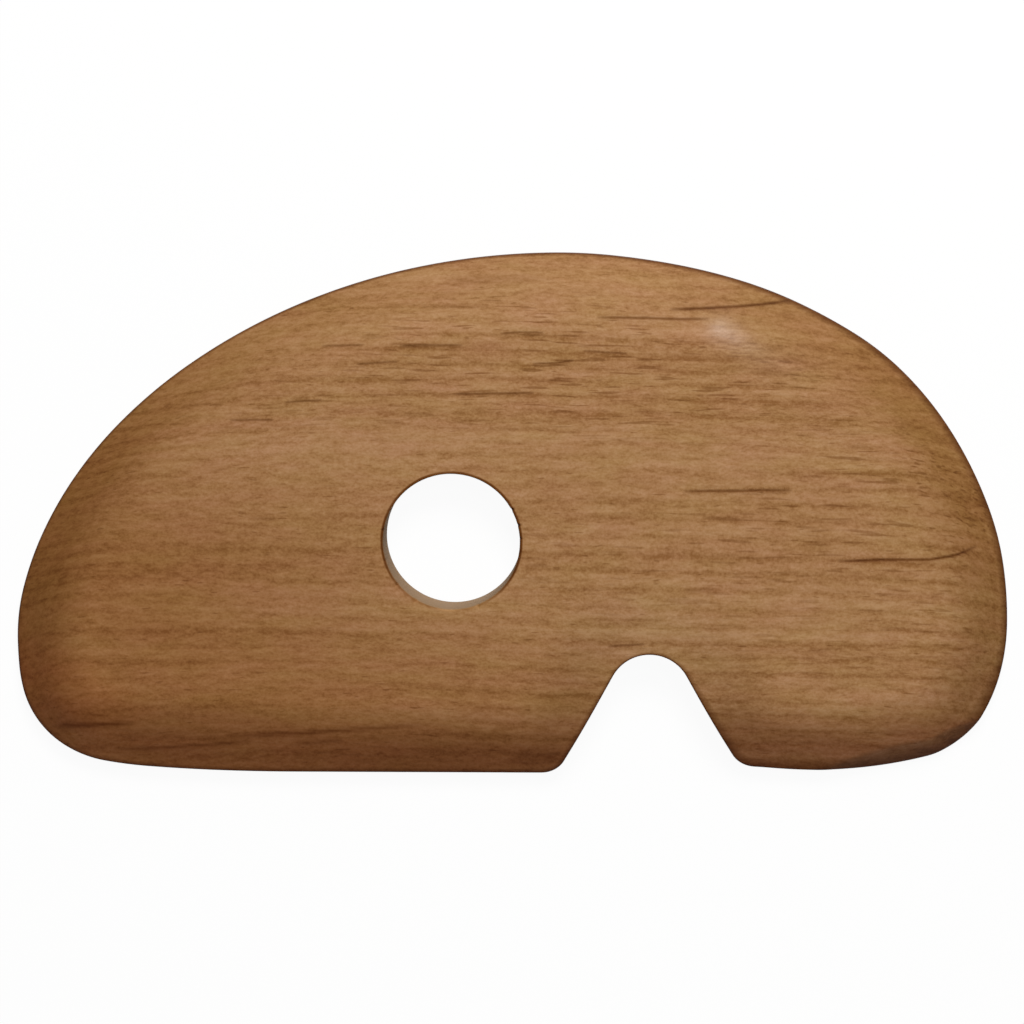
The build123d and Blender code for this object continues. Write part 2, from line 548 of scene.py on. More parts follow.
class Blade:
    """The rib's surfaces as heights over the flat back, worked out from its sizes."""

    def __init__(self, sizes):
        self.sizes = sizes
        round_side, mouth, heel_side = outline_parts(sizes)
        self.outline = round_side + mouth + heel_side
        self.profile = round_side + notch_bends(sizes, mouth) + heel_side
        self.hole_centre = np.array([sizes.hole_x, sizes.hole_y])
        self.hole_radius = sizes.hole_diameter / 2
        crown = np.array([0, self.hole_radius])
        half_round = math.pi * self.hole_radius
        self.hole = [
            Bend(self.hole_centre + crown, (1, 0), -1 / self.hole_radius, half_round),
            Bend(self.hole_centre - crown, (-1, 0), -1 / self.hole_radius, half_round),
        ]
        self.bevel_slope = math.atan2(sizes.thickness - sizes.edge_thickness, sizes.bevel_width)
        turns = np.degrees((sizes.foot_facet_turn, sizes.end_facet_turn))
        radius = sizes.heel_corner_radius
        self.facets = [corner_knot(sizes, HEEL_CORNER_SHARES, radius, turn) for turn in turns]
        self.checks = [Check(*check) for check in CHECKS]

    def bevel_height(self, points):
        """The face with its bevel and soft shoulder, before the heel is pared."""
        sizes = self.sizes
        depth = depth_inside(points, self.outline)
        reach = sizes.shoulder_radius * math.tan(self.bevel_slope / 2)
        round_start = sizes.bevel_width - reach * math.cos(self.bevel_slope)
        short = np.clip(sizes.bevel_width + reach - depth, 0, sizes.shoulder_radius)
        round_fall = sizes.shoulder_radius - np.sqrt(sizes.shoulder_radius**2 - short**2)
        bevel = sizes.edge_thickness + depth * math.tan(self.bevel_slope)
        return np.where(depth < round_start, bevel, sizes.thickness - round_fall)

    def facet_height(self, points, facet):
        """The plane of one of the flats that are pared off the heel corner."""
        place, direction = facet
        inside = (points - place) @ left_of(direction)
        lowest = self.sizes.back_ease + self.sizes.facet_wall
        return lowest + inside * math.tan(self.sizes.facet_slope)

    def face_height(self, points):
        """The face with the heel pared, and the ridge and creases of its two flats worn soft."""
        flats = [self.facet_height(points, facet) for facet in self.facets]
        return soft_least(self.bevel_height(points), soft_least(*flats, RIDGE_WEAR), CREASE_WEAR)

    def facet_crease(self, facet, other, step):
        """The line where a pared flat meets the bevel, clear of the wall and the other flat."""
        place, direction = facet
        reach = 2 * self.sizes.bevel_width
        halvings = 30
        travel = np.arange(-reach, reach, step)
        foot = place + travel[:, None] * direction
        near, far = np.zeros(len(travel)), np.full(len(travel), reach)
        for halving in range(halvings):
            middle = (near + far) / 2
            places = foot + middle[:, None] * left_of(direction)
            cuts = self.facet_height(places, facet) < self.bevel_height(places)
            near, far = np.where(cuts, middle, near), np.where(cuts, far, middle)
        lower = self.facet_height(places, facet) < self.facet_height(places, other)
        return places[lower & (depth_inside(places, self.profile) > 2 * self.sizes.edge_ease)]

    def hole_distance(self, points):
        """How far each point lies from the wall of the hole."""
        return np.linalg.norm(points - self.hole_centre, axis=1) - self.hole_radius

    def nicks(self, points):
        """How deep the drill tore the fibres beside each point of the hole's rim."""
        out = points - self.hole_centre
        angle = np.degrees(np.arctan2(out[:, 1], out[:, 0]))
        deepest = np.zeros(len(points))
        for place, length, width in HOLE_NICKS:
            turn = (angle - place + 180) % 360 - 180
            beside = np.radians(turn) * self.hole_radius / (width * MM)
            deepest = np.maximum(deepest, length * MM * np.exp(-(beside**2)))
        return deepest

    def hole_rise(self, points):
        """How far each point lies towards the bow from the hole's middle, from -1 to 1."""
        return unit_rows(points - self.hole_centre)[:, 1]

    def hole_ease(self, points):
        """The easing of the hole's rim: sharper towards the bow, unevenly worn and nicked."""
        uneven = RIM_UNEVENNESS * wander(points, RIM_REACH, RIM_SEED)
        share = RIM_WEAR + uneven - RIM_LEAN * self.hole_rise(points)
        return self.sizes.rim_ease * share + self.nicks(points)

    def hole_rim_shade(self, points):
        """How strong the painted shade round the hole's rim is: full towards the bow and at the
        sides, least towards the foot.
        """
        at_the_sides, lean, least = 1.4, 1.2, 0.25
        return np.clip(at_the_sides + lean * self.hole_rise(points), least, 1)

    def top_height(self, points):
        """The finished face: eased rims, the faint waves of hand sanding and the checks."""
        height = self.face_height(points)
        height -= drop_of_ease(depth_inside(points, self.profile), self.sizes.edge_ease)
        height -= drop_of_ease(self.hole_distance(points), self.hole_ease(points))
        height -= WAVE_DEPTH * (0.5 + 0.5 * wander(points, WAVE_REACH, WAVE_SEED))
        for check in self.checks:
            height -= check.groove(points)
        return height

    def darkness(self, points):
        """How dark the checks and the nicks stand at points of the face, with painted shade of
        their depth.
        """
        dark = [check.darkening(points) for check in self.checks]
        rim = self.hole_centre + unit_rows(points - self.hole_centre) * self.hole_radius
        shade_start = 0.5
        nick = self.nicks(rim) / (self.hole_distance(points).clip(0) + NICK_SHADE)
        return np.maximum(np.max(dark, axis=0), (nick - shade_start).clip(0, 1))

    def streaks(self, points):
        """How strongly the dark mineral streaks, and the band of painted shade, show at each point.
        """
        fullness = 6
        strongest = np.zeros(len(points))
        for places, half_width, strength in STREAKS:
            away, along = line_distance(points, np.array(places) * MM)
            share = np.exp(-((away / (half_width * MM)) ** 2)) * taper(along, fullness)
            strongest = np.maximum(strongest, share * strength)
        return strongest

    def polish(self, points):
        """How much the palm has polished the shoulder at each point, from nought to one."""
        away, along = line_distance(points, np.array(POLISHED) * MM)
        return np.exp(-((away / POLISH_REACH) ** 2)) * (1 - POLISH_FADE * along)


class Shell:
    """Collects the places and faces of one closed mesh. Each loop has the wood on its left."""

    def __init__(self):
        self.places = []
        self.faces = []
        self.count = 0

    def add(self, places, height):
        """Adds places at a height and gives their numbers."""
        self.places.append(np.c_[places, np.broadcast_to(height, len(places))])
        self.count += len(places)
        return np.arange(self.count - len(places), self.count)

    def strip(self, ring, next_ring):
        """A band of faces from one closed ring to the next, which face outward as the rings go over
        the rim, down the wall and in under the back."""
        on, next_on = np.roll(ring, -1), np.roll(next_ring, -1)
        self.faces += np.c_[next_ring, next_on, on, ring].tolist()

    def extend(self, ring, places, height):
        """Adds a ring of places, and the band of faces that leads to it."""
        next_ring = self.add(places, height)
        self.strip(ring, next_ring)
        return next_ring


def hex_grid(low, high, step):
    """Places in staggered rows over a rectangle."""
    rows = []
    for row, y in enumerate(np.arange(low[1], high[1], step * math.sqrt(3) / 2)):
        x = np.arange(low[0] + step / 2 * (row % 2), high[0], step)
        rows.append(np.c_[x, np.full(len(x), y)])
    return np.vstack(rows)


def grid_inside(blade, step, edge_gap, lines):
    """A grid over the wood, clear of its rims and of the lines."""
    half = np.array([blade.sizes.length, blade.sizes.width]) / 2
    points = hex_grid(-half, half, step)
    points = points[depth_inside(points, blade.profile) > edge_gap]
    points = points[blade.hole_distance(points) > HOLE_GAP]
    for line in lines:
        points = points[line_distance(points, line)[0] > LINE_GAP]
    return points


def beyond_ring(points, ring, centre):
    """Which points lie outside a ring that a line from its centre crosses only once."""
    out, spokes = points - centre, ring - centre
    angles = np.arctan2(spokes[:, 1], spokes[:, 0])
    reach = np.linalg.norm(spokes, axis=1)
    order = np.argsort(angles)
    angle = np.arctan2(out[:, 1], out[:, 0])
    here = np.interp(angle, angles[order], reach[order], period=2 * math.pi)
    return np.linalg.norm(out, axis=1) > here


def triangles_over(blade, rims, lines, inner):
    """Triangles over the wood between its outer rim and the hole's, through the inner points and
    along the lines. Gives the places, the triangles and the number of each rim's places."""
    edges = []
    count = 0
    for rim in rims:
        edges += [(count + place, count + (place + 1) % len(rim)) for place in range(len(rim))]
        count += len(rim)
    for line in lines:
        edges += [(count + place, count + place + 1) for place in range(len(line) - 1)]
        count += len(line)
    coordinates = [Vector(place) for place in np.vstack([*rims, *lines, inner]) / MM]
    within_the_rim, tolerance = 1, 1e-6
    places, _, faces, origins, _, _ = geometry.delaunay_2d_cdt(
        coordinates, edges, [], within_the_rim, tolerance
    )
    places, faces = np.array(places) * MM, np.array(faces)
    faces = faces[beyond_ring(places[faces].mean(axis=1), rims[1], blade.hole_centre)]
    number = {origin: place for place, kept in enumerate(origins) for origin in kept}
    rim_numbers = []
    first = 0
    for rim in rims:
        rim_numbers.append(np.array([number[first + place] for place in range(len(rim))]))
        first += len(rim)
    return places, faces, rim_numbers


def blade_shell(blade):
    """The whole surface of the rib as one closed mesh."""
    sizes = blade.sizes
    shell = Shell()
    loops = [walk(blade.profile, EDGE_STEP), walk(blade.hole, HOLE_STEP)]
    rim_eases = [np.full(len(loops[0][0]), sizes.edge_ease), blade.hole_ease(loops[1][0])]

    top_rims = [places + inward * ease[:, None] for (places, inward), ease in zip(loops, rim_eases)]
    lines = [line for check in blade.checks for line in check.lines(LINE_STEP)]
    lines += [blade.facet_crease(*pair, LINE_STEP) for pair in (blade.facets, blade.facets[::-1])]
    inner = grid_inside(blade, FACE_GRID, FACE_GAP, lines)
    places, faces, top_rims = triangles_over(blade, top_rims, lines, inner)
    top = shell.add(places, blade.top_height(places))
    shell.faces += top[faces].tolist()

    back_rims = [places + inward * sizes.back_ease for places, inward in loops]
    inner = grid_inside(blade, BACK_GRID, BACK_GAP, [])
    places, faces, back_rims = triangles_over(blade, back_rims, [], inner)
    back = shell.add(places, 0.0)
    shell.faces += back[faces[:, ::-1]].tolist()

    for (places, inward), ease, top_rim, back_rim in zip(loops, rim_eases, top_rims, back_rims):
        ring = top[top_rim]
        rim_height = blade.face_height(places) - ease
        for angle in EASE_ANGLES:
            inset = places + inward * (ease * (1 - math.cos(angle)))[:, None]
            height = blade.face_height(inset) - ease * (1 - math.sin(angle))
            ring = shell.extend(ring, inset, height)
        for share in WALL_SHARES:
            height = sizes.back_ease + share * (rim_height - sizes.back_ease)
            ring = shell.extend(ring, places, height)
        for angle in BACK_ANGLES:
            inset = places + inward * sizes.back_ease * (1 - math.cos(angle))
            ring = shell.extend(ring, inset, sizes.back_ease * (1 - math.sin(angle)))
        shell.strip(ring, back[back_rim])
    return shell


def blade_piece(sizes):
    """The rib as an object, with what its finish needs to know at each vertex."""
    blade = Blade(sizes)
    shell = blade_shell(blade)
    places = np.vstack(shell.places)
    mesh = bpy.data.meshes.new("throwing_rib")
    mesh.from_pydata(places.tolist(), [], shell.faces)
    mesh.validate()
    mesh.polygons.foreach_set("use_smooth", np.ones(len(mesh.polygons), bool))
    normals = np.zeros(3 * len(places), np.float32)
    mesh.vertex_normals.foreach_get("vector", normals)
    to_end, to_bow, upward = normals.reshape(-1, 3).T
    flat = places[:, :2]
    face_tilt, farthest = 0.5, 100
    on_face = upward > face_tilt
    traits = {
        "end_grain": np.abs(to_end) * (1 + 2 * to_bow).clip(0),
        "foot_side": (-to_bow).clip(0),
        "check": np.where(on_face, blade.darkness(flat), 0),
        "streak": np.where(on_face, blade.streaks(flat), 0),
        "polish": np.where(on_face, blade.polish(flat), 0),
        "edge_distance": np.clip(depth_inside(flat, blade.profile) / MM, 0, farthest),
        "hole_distance": blade.hole_distance(flat) / MM,
        "hole_rim_shade": blade.hole_rim_shade(flat),
    }
    for name, values in traits.items():
        attribute = mesh.attributes.new(name, "FLOAT", "POINT")
        attribute.data.foreach_set("value", np.asarray(values, np.float32))
    piece = bpy.data.objects.new("throwing_rib", mesh)
    bpy.context.scene.collection.objects.link(piece)
    return piece


class Nodes:
    """The nodes of a material or a world, added one by one."""

    def __init__(self, owner):
        owner.use_nodes = True
        self.owner = owner
        self.nodes, self.links = owner.node_tree.nodes, owner.node_tree.links
        self.nodes.clear()

    def add(self, kind, inputs, **settings):
        """Adds a node. Each input is another node's output, or a plain value."""
        node = self.nodes.new("ShaderNode" + kind)
        for name, value in settings.items():
            setattr(node, name, value)
        for name, value in inputs.items():
            if isinstance(value, bpy.types.NodeSocket):
                self.links.new(value, node.inputs[name])
            else:
                node.inputs[name].default_value = value
        return node.outputs

    def math(self, operation, first, second=0.0, third=0.0):
        return self.add("Math", {0: first, 1: second, 2: third}, operation=operation)[0]

    def times(self, first, second):
        return self.math("MULTIPLY", first, second)

    def greater(self, first, second):
        return self.math("MAXIMUM", first, second)

    def line(self, value, slope, start):
        """A start and so much of a value."""
        return self.math("MULTIPLY_ADD", value, slope, start)

    def attribute(self, name):
        return self.add("Attribute", {}, attribute_name=name)["Fac"]

    def noise(self, place, scale, detail=0.0):
        """Noise over a place in millimetres, this many times a millimetre along each axis."""
        scaled = self.add("VectorMath", {0: place, 1: scale}, operation="MULTIPLY")[0]
        return self.add("TexNoise", {"Vector": scaled, "Scale": 1.0, "Detail": detail})["Fac"]

    def blend_in(self, share, weight, total):
        """Adds this much of a share to a total, up and down alike."""
        return self.line(share, weight, self.math("ADD", total, -weight / 2))

    def grade(self, value, low, high, smooth=False):
        """A value from nought at low to one at high, held at both ends."""
        kind = "SMOOTHSTEP" if smooth else "LINEAR"
        return self.add("MapRange", {0: value, 1: low, 2: high}, interpolation_type=kind)[0]

    def ramp(self, value, stops):
        """A colour ramp through stops of a place and a colour."""
        outputs = self.add("ValToRGB", {"Fac": value})
        elements = self.nodes[-1].color_ramp.elements
        while len(elements) < len(stops):
            elements.new(1.0)
        for element, (place, colour) in zip(elements, stops):
            element.position = place
            element.color = (*colour, 1)
        return outputs["Color"]

    def mix(self, share, first, second, blend="MIX"):
        inputs = {0: share, 6: first, 7: second}
        return self.add("Mix", inputs, data_type="RGBA", blend_type=blend)[2]

    def tint(self, share, colour, tint):
        """A colour multiplied by a tint, as far as the share goes."""
        return self.mix(share, colour, (*tint, 1), "MULTIPLY")


class OiledWood(Nodes):
    """Close-grained hardwood under oil. Its growth rings are layers in the wood that bow along X
    and lean across the board, so they show as lines on the face and bend over the bevel."""

    def __init__(self, finish):
        super().__init__(bpy.data.materials.new("oiled_hardwood_grain"))
        toe_x, toe_y = -0.6, -0.8
        self.finish = finish
        place = self.add("TexCoord", {})["Object"]
        self.place = self.add("VectorMath", {0: place, 3: 1 / MM}, operation="SCALE")[0]
        self.x, self.y, z = self.add("SeparateXYZ", {0: self.place})
        self.to_toe = self.line(self.x, toe_x, self.times(self.y, toe_y))
        self.layer = self.layers(z)
        self.strata = self.add("CombineXYZ", {0: self.x, 1: self.layer, 2: z})[0]
        self.ring = self.rings()
        self.on_foot_bevel = self.trait("foot bevel", self.attribute("foot_side"))
        colour = self.grain()
        for change in (self.pored, self.darker_toe_and_ends, self.shaded_foot, self.drilled, self.darker_bevel):
            colour = change(colour)
        self.oil(colour)

    def trait(self, name, value, smooth=False):
        """How far a trait, of the wood itself or of its painted shade, has come in where it goes by
        this value.
        """
        return self.grade(value, *TRAITS[name], smooth)

    def patches(self, name, scale, detail=0.0):
        """How far a trait of the wood has come in where it goes by a noise in its layers."""
        return self.trait(name, self.noise(self.strata, scale, detail))

    def layers(self, z):
        """Across which layer of the wood each place lies, in millimetres."""
        from_middle, warp, wobble = 10.0, 5.0, 0.6
        bow = self.math("POWER", self.math("ADD", self.x, from_middle), 2.0)
        layer = self.math("ADD", self.y, self.times(z, -self.finish.ring_lean))
        layer = self.math("ADD", layer, self.times(bow, self.finish.ring_bow))
        layer = self.blend_in(self.noise(self.place, WARP), warp, layer)
        return self.blend_in(self.noise(self.place, WOBBLE), wobble, layer)

    def rings(self):
        """The thin dark lines that end each year's growth, fainter in patches."""
        drift, sharpness = 6.0, 2.5
        turn = self.times(self.layer, 2 * math.pi / self.finish.ring_spacing)
        turn = self.blend_in(self.noise(self.strata, RING_DRIFT), drift, turn)
        wave = self.line(self.math("SINE", turn), 0.5, 0.5)
        patches = self.patches("ring patches", RING_PATCHES)
        return self.times(self.math("POWER", wave, sharpness), patches)

    def grain(self):
        """The colour of the clean wood, from its rings, its fibres and its figure."""
        finish = self.finish
        ring_tone, plain_tone, middle_tone, figure_detail = -0.16, 0.53, 0.04, 2.0
        tone = self.line(self.ring, ring_tone, plain_tone)
        tone = self.blend_in(self.trait("pale middle", self.x), middle_tone, tone)
        for scale, weight in GRAIN:
            tone = self.blend_in(self.noise(self.strata, scale), weight, tone)
        stops = [(0.20, finish.late_wood), (0.50, finish.middle_wood), (0.80, finish.early_wood)]
        figure = self.patches("figure", FIGURE, figure_detail)
        tint = self.mix(figure, (*finish.yellow_tint, 1), (*finish.pink_tint, 1))
        return self.mix(1.0, self.ramp(tone, stops), tint, "MULTIPLY")

    def pored(self, colour):
        """Pores, as dashes that thin out towards the toe and as specks, and the mineral streaks
        with the band of painted shade.
        """
        lean, dash_strength, speck_strength = 0.3, 0.6, 0.5
        bow_side = self.trait("bow side", self.line(self.x, lean, self.y))
        dash_share = self.patches("dash patches", DASH_PATCHES)
        dash_share = self.times(dash_share, self.times(bow_side, dash_strength))
        dashes = self.times(self.patches("dashes", DASHES), dash_share)
        specks = self.times(self.patches("specks", SPECKS), speck_strength)
        dark = self.greater(self.greater(dashes, specks), self.attribute("streak"))
        return self.tint(dark, colour, self.finish.pore)

    def darker_toe_and_ends(self, colour):
        """Darker towards the toe's corner, partly heartwood and partly painted shade where the
        light falls off, and dark end grain, stronger where the surface also faces the bow and
        weaker where it faces the foot.
        """
        drift = 16.0
        heart_and_shade = self.blend_in(self.noise(self.strata, HEART_AND_SHADE_DRIFT), drift, self.to_toe)
        heart_and_shade = self.trait("heart_and_shade", heart_and_shade, smooth=True)
        colour = self.tint(heart_and_shade, colour, self.finish.heart_and_shade_tint)
        end_grain = self.trait("end grain", self.attribute("end_grain"))
        return self.tint(end_grain, colour, self.finish.end_grain_tint)

    def shaded_foot(self, colour):
        """Painted shade, darker and redder, on every surface that faces the foot away from the main
        lamp, and at the toe's corner; paler on the foot's bevel towards the toe, where that shade
        is lifted, and paler wood worn by the notch's tip.
        """
        # Painted shade on surfaces that face the foot and at the toe's corner
        darkening = self.trait("foot shade", self.attribute("foot_side"))
        darkening = self.greater(darkening, self.trait("toe shade", self.to_toe))
        colour = self.tint(darkening, colour, self.finish.foot_shade_tint)
        notch_tip = (21.0, -19.0, 6.0)
        from_tip = self.add("VectorMath", {0: self.place, 1: notch_tip}, operation="DISTANCE")[1]
        # Paler on the foot's bevel towards the toe, lifting the painted shade there, and paler wood
        # worn by the notch's tip
        toe_lift = self.times(self.on_foot_bevel, self.trait("toe lift", self.x))
        worn = self.greater(toe_lift, self.trait("tip wear", from_tip))
        return self.tint(worn, colour, self.finish.worn_tint)

    def drilled(self, colour):
        """The dry wall of the hole."""
        raw = self.trait("raw wall", self.attribute("hole_distance"))
        return self.mix(raw, colour, (*self.finish.raw_wood, 1))

    def rim(self):
        """The painted shade line round the rim of the hole, in patches."""
        line_place, patchiness = 0.22, 0.9
        away = self.math("SUBTRACT", self.attribute("hole_distance"), line_place)
        line = self.trait("rim line", self.math("ABSOLUTE", away))
        patches = self.noise(self.place, RIM_PATCHES)
        return self.times(line, self.blend_in(patches, patchiness, self.attribute("hole_rim_shade")))

    def darker_bevel(self, colour):
        """A darker band along the bevel, least at the foot; painted shade as a dark line along the
        edge, widest at the foot and the heel, and as a line round the hole's rim; and the checks,
        dark with oil and with painted shade of their depth."""
        spared, strength = -0.7, 0.95
        width, heel_width, foot_width, foot_heel_width = 0.40, 0.65, 0.4, 1.2
        from_edge = self.attribute("edge_distance")
        away_from_foot = self.line(self.on_foot_bevel, spared, 1.0)
        dulled = self.times(self.trait("darker_bevel", from_edge), away_from_foot)
        colour = self.tint(dulled, colour, self.finish.darker_bevel_tint)
        # Painted shade: a dark line along the edge, widest at the foot and the heel, in the checks'
        # tint
        heel_side = self.trait("heel side", self.x)
        at_foot = self.line(heel_side, foot_heel_width, foot_width)
        reach = self.line(heel_side, heel_width, width)
        reach = self.line(self.trait("foot edge", self.y), at_foot, reach)
        edge = self.times(self.grade(from_edge, reach, 0.0), strength)
        colour = self.tint(self.greater(self.rim(), edge), colour, self.finish.check)
        return self.tint(self.attribute("check"), colour, self.finish.check)

    def oil(self, colour):
        """The raised grain under satin oil, glossier where the palm has polished it."""
        finish = self.finish
        ring_relief, fibre_relief, fine_relief, unevenness = -0.3, 0.6, 0.3, 0.12
        sheen, polish_sheen = 0.17, 0.27
        fibres = self.noise(self.strata, FIBRES)
        relief = self.blend_in(fibres, fibre_relief, self.times(self.ring, ring_relief))
        relief = self.blend_in(self.noise(self.strata, FINE_FIBRES), fine_relief, relief)
        bump = {"Strength": 1.0, "Distance": finish.relief, "Height": relief}
        polish = self.attribute("polish")
        roughness = self.line(polish, finish.polish - finish.roughness, finish.roughness)
        surface = {
            "Base Color": colour,
            "Roughness": self.blend_in(fibres, unevenness, roughness),
            "Normal": self.add("Bump", bump)[0],
            "IOR": 1.46,
            "Specular IOR Level": self.line(polish, polish_sheen, sheen),
        }
        shader = self.add("BsdfPrincipled", surface)[0]
        self.add("OutputMaterial", {"Surface": shader})


def pale_floor(colour, white_share):
    """A pale floor that shows almost white to the camera and still takes the rib's shadow."""
    floor = Nodes(bpy.data.materials.new("pale_floor"))
    diffuse = floor.add("BsdfDiffuse", {"Color": (*colour, 1)})[0]
    white = floor.add("Emission", {"Color": (1, 1, 1, 1), "Strength": 1.0})[0]
    rays = floor.add("LightPath", {})
    seen = floor.greater(rays["Is Camera Ray"], rays["Is Glossy Ray"])
    seen = floor.greater(seen, rays["Is Transmission Ray"])
    shares = {0: floor.times(seen, white_share), 1: diffuse, 2: white}
    mixed = floor.add("MixShader", shares)[0]
    floor.add("OutputMaterial", {"Surface": mixed})
    return floor.owner


def link(name, data, matrix):
    """Puts an object into the scene at its place."""
    thing = bpy.data.objects.new(name, data)
    thing.matrix_world = matrix
    bpy.context.scene.collection.objects.link(thing)
    return thing


def looking(eye, target, roll=0.0):
    """The placement of a lamp or camera at eye that looks at target, turned by roll."""
    forward = (target - eye).normalized()
    right = forward.cross(Vector((0, 1, 0))).normalized()
    up = right.cross(forward)
    axes = Matrix((right, up, -forward)).transposed() @ Matrix.Rotation(roll, 3, "Z")
    return Matrix.Translation(eye) @ axes.to_4x4()


def add_lamp(name, lamp_facts, power):
    """A round soft lamp that shines on the middle of the rib."""
    place, width, colour = lamp_facts
    lamp = bpy.data.lights.new(name, "AREA")
    lamp.shape = "DISK"
    lamp.size = width
    lamp.energy = power
    lamp.color = colour
    link(name, lamp, looking(Vector(place), Vector((0, 0, 0))))


def light_world(level):
    """An even white room, which the camera sees as plain white."""
    room = Nodes(bpy.data.worlds.new("white_room"))
    white = {"Color": (1, 1, 1, 1)}
    lit = room.add("Background", {**white, "Strength": level})[0]
    shown = room.add("Background", {**white, "Strength": 1.0})[0]
    seen = room.add("LightPath", {})["Is Camera Ray"]
    mixed = room.add("MixShader", {0: seen, 1: lit, 2: shown})[0]
    room.add("OutputWorld", {"Surface": mixed})
    bpy.context.scene.world = room.owner


def length_property(name, description, default):
    """A size in metres, shown in the scene's own unit."""
    return FloatProperty(
        name=name, description=description, default=default, unit="LENGTH", precision=5
    )


def angle_property(name, description, degrees):
    default = math.radians(degrees)
    return FloatProperty(
        name=name, description=description, default=default, subtype="ANGLE", unit="ROTATION"
    )


def number_property(name, description, default, most=1000.0):
    return FloatProperty(name=name, description=description, default=default, min=0, max=most)


def colour_property(name, description, default, most=1.0):
    return FloatVectorProperty(
        name=name, description=description, default=default, subtype="COLOR", min=0, max=most
    )


def place_property(name, description, default):
    return FloatVectorProperty(name=name, description=description, default=default, unit="LENGTH")


class RibSizes(bpy.types.PropertyGroup):
    length: length_property("Length", "Along the grain, from toe to heel", BLADE_SIZE.x)
    width: length_property("Width", "From the foot to the top of the bow", BLADE_SIZE.y)
    thickness: length_property("Thickness", "Of the board", BLADE_SIZE.z)
    toe_corner_radius: length_property("Toe corner", "Radius of the toe's corner", 13.2 * MM)
    heel_corner_radius: length_property("Heel corner", "Radius of the heel's corner", 12.6 * MM)
    corner_sweep: angle_property("Corner sweep", "How far each corner turns at that radius", 44)
    edge_thickness: length_property("Edge", "What the bevel leaves of the thickness", 2.4 * MM)
    bevel_width: length_property("Bevel", "Width of the bevel all round", 7 * MM)
    shoulder_radius: length_property("Shoulder", "Radius between bevel and face", 15 * MM)
    edge_ease: length_property("Edge easing", "Radius of the upper edge of the wall", 0.3 * MM)
    back_ease: length_property("Back easing", "Radius of the edge of the back", 0.45 * MM)
    hole_diameter: length_property("Hole", "Diameter of the finger hole", 19.05 * MM)
    hole_x: length_property("Hole along", "From the middle, along the length", -7.6 * MM)
    hole_y: length_property("Hole across", "From the middle, across the width", -3 * MM)
    rim_ease: length_property("Hole easing", "Radius of the hole's rim", 0.35 * MM)
    notch_x: length_property("Notch along", "From the middle, along the length", 19.95 * MM)
    notch_angle: angle_property("Notch angle", "Between the flanks of the notch", 57.5)
    notch_depth: length_property("Notch depth", "From the foot to the round tip", 17.8 * MM)
    notch_tip_radius: length_property("Notch tip", "Radius of the tip", 5.85 * MM)
    notch_lip_radius: length_property("Notch lips", "Radius of the lips at the mouth", 3.7 * MM)
    heel_rise: length_property("Heel rise", "Of the foot past the notch", 0.85 * MM)
    heel_dip: angle_property("Heel dip", "How steeply the foot dips from there", 4.5)
    foot_facet_turn: angle_property("Foot flat", "Turn of the edge at the foot's flat", 12)
    end_facet_turn: angle_property("End flat", "Turn of the edge at the end's flat", 32.5)
    facet_slope: angle_property("Flats' slope", "Steepness of the flats on the heel corner", 46)
    facet_wall: length_property("Flats' wall", "Upright wall left under the flats", 0.5 * MM)


class RibFinish(bpy.types.PropertyGroup):
    early_wood: colour_property("Early wood", "The pale parts of the rings", (0.456, 0.258, 0.142))
    middle_wood: colour_property("Middle wood", "The wood between", (0.370, 0.191, 0.086))
    late_wood: colour_property("Late wood", "The dark lines of the rings", (0.255, 0.112, 0.037))
    pore: colour_property("Pores", "Tint of the pores and streaks", (0.45, 0.30, 0.10))
    yellow_tint: colour_property("Yellow figure", "Tint of yellower patches", (0.95, 0.97, 0.78))
    pink_tint: colour_property("Pink figure", "Tint of pinker patches", (0.99, 0.93, 0.90))
    # Heartwood towards the toe's corner, together with painted shade where the light falls off
    # there
    heart_and_shade_tint: colour_property("Heart wood", "Tint towards toe and foot", (0.795, 0.675, 0.525))
    end_grain_tint: colour_property("End grain", "Tint of cut fibres", (0.81, 0.75, 0.57))
    # Tint of the painted shade on surfaces that face the foot and at the toe's corner
    foot_shade_tint: colour_property("Foot side", "Tint of the painted shade on the side facing the foot", (1.0, 0.80, 0.72))
    # Tint of a darker band along the bevel, least at the foot
    darker_bevel_tint: colour_property("Darker bevel", "Tint of the darker band along the bevel", (0.83, 0.82, 0.79))
    # The paler tint also lifts the painted shade on the foot's bevel towards the toe
    worn_tint: colour_property("Worn", "Tint of wood rubbed paler by use", (1.15, 1.20, 1.24), 2.0)
    raw_wood: colour_property("Raw wood", "The dry wall of the finger hole", (0.275, 0.178, 0.100))
    # The checks' tint also paints the shade of the checks, and the shade lines along the edge and
    # round the hole's rim
    check: colour_property("Checks", "Tint of old oil and dirt in the checks", (0.34, 0.19, 0.02))
    roughness: number_property("Roughness", "Of the oiled face", 0.75, 1.0)
    polish: number_property("Polish", "Roughness of the polished shoulder", 0.33, 1.0)
    relief: length_property("Relief", "Height of the raised grain", 0.03 * MM)
    ring_spacing: number_property("Ring spacing", "In millimetres", 2.2)
    ring_lean: number_property("Ring lean", "Shift of the rings for each depth", 0.6)
    ring_bow: number_property("Ring bow", "Bend of the rings along the rib", 0.00025)


